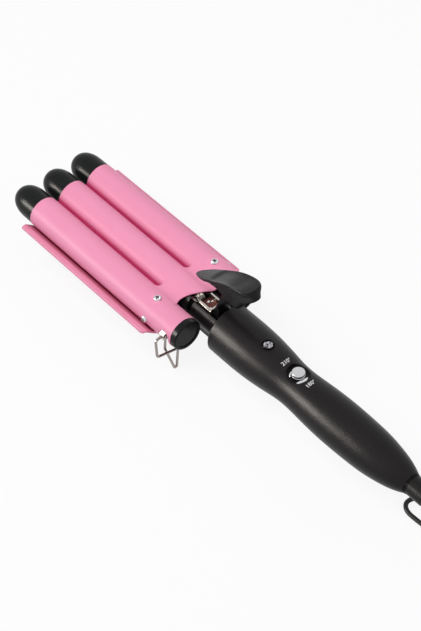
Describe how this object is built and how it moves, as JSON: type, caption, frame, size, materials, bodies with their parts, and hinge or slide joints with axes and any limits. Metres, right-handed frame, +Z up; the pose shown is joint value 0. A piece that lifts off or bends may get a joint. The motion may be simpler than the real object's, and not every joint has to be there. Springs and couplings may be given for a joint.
{
  "type": "hair waver",
  "caption": "Hair waver: parallel heated barrels on a sprung head over a shaped clamp plate, with thumb lever, round handle, heat switch, lamp, wire stands and swivel mains lead.",
  "frame": {"origin": "under the middle of the tool's length, between the wire stands' sides, at the height of the stands' feet", "axes": "+Y along the barrels towards their tips, +Z up towards the thumb lever, +X across the barrels to the right as seen from the handle"},
  "size_m": [0.12, 0.5016, 0.1089],
  "materials": {
    "pink_enamel": "satin pink enamel on aluminium",
    "black_plastic": "heat-resistant black plastic, fine satin",
    "chrome_steel": "bright chrome",
    "steel": "zinc-plated steel",
    "bare_aluminium": "extruded",
    "heating_ceramic": "ceramic with insulating film",
    "lamp_resin": "clear grey resin, unlit",
    "board_laminate": "solder mask",
    "switch_nylon": "moulded nylon",
    "lead_rubber": "matt black sheath",
    "plug_plastic": "moulded black plastic",
    "tie_band": "woven band"
  },
  "bodies": {
    "handle": {"handle_upper_shell": "black_plastic", "handle_lower_shell": "black_plastic", "handle_screw_front": "steel", "handle_screw_rear": "steel", "neck": "black_plastic", "lead_sleeve": "lead_rubber", "plate_strap": "steel", "plate_screws": "steel", "strap_screws": "steel", "clamp_plate": "pink_enamel", "hinge_pin": "steel", "lamp_ring": "black_plastic", "lamp_lens": "lamp_resin", "switch_dish": "black_plastic", "switch_trim": "chrome_steel", "switch_block": "switch_nylon", "control_board": "board_laminate"},
    "barrel_head": {"barrel_left": "pink_enamel", "barrel_middle": "pink_enamel", "barrel_right": "pink_enamel", "barrel_webs": "pink_enamel", "bracket_block": "black_plastic", "bracket_screws": "steel", "bridge_left": "pink_enamel", "bridge_right": "pink_enamel", "crest_screws": "chrome_steel", "flank_screws": "chrome_steel", "heat_spreader_left": "bare_aluminium", "heat_spreader_middle": "bare_aluminium", "heat_spreader_right": "bare_aluminium", "jaw_bracket": "steel", "lever_screws": "steel", "ptc_plate_left": "heating_ceramic", "ptc_plate_middle": "heating_ceramic", "ptc_plate_right": "heating_ceramic", "rear_plug_left": "black_plastic", "rear_plug_right": "black_plastic", "stand_ear_left": "steel", "stand_ear_right": "steel", "thumb_lever": "black_plastic", "tip_left": "black_plastic", "tip_middle": "black_plastic", "tip_right": "black_plastic", "torsion_spring": "steel"},
    "left_stand": {"stand_left": "chrome_steel"},
    "right_stand": {"stand_right": "chrome_steel"},
    "switch_slider": {"switch_knob": "chrome_steel"},
    "lead_swivel": {"swivel_sleeve": "black_plastic", "strain_relief": "lead_rubber", "mains_lead": "lead_rubber", "mains_lead_tail": "lead_rubber", "lead_coil": "lead_rubber", "coil_tie": "tie_band", "mains_plug": "plug_plastic"}
  },
  "joints": [
    {"name": "jaw_hinge", "type": "hinge", "parent": "handle", "child": "barrel_head", "pos_m": [0, 0.02965, 0.0489], "axis": [1, 0, 0], "range_deg": [0, 12], "stiffness_Nm_per_rad": 1.2, "springref_deg": -28.65},
    {"name": "left_stand_pivot", "type": "hinge", "parent": "barrel_head", "child": "left_stand", "pos_m": [-0.0396, 0.02965, 0.0432], "axis": [1, 0, 0], "range_deg": [-32, 10]},
    {"name": "right_stand_pivot", "type": "hinge", "parent": "barrel_head", "child": "right_stand", "pos_m": [0.0396, 0.02965, 0.0432], "axis": [1, 0, 0], "range_deg": [-32, 10]},
    {"name": "switch_slide", "type": "slide", "parent": "handle", "child": "switch_slider", "axis": [0, 1, 0], "range_m": [-0.0024, 0.0024]},
    {"name": "lead_swivel_turn", "type": "hinge", "parent": "handle", "child": "lead_swivel", "pos_m": [0, -0.17655, 0.0436], "axis": [0, 1, 0], "continuous": true}
  ]
}
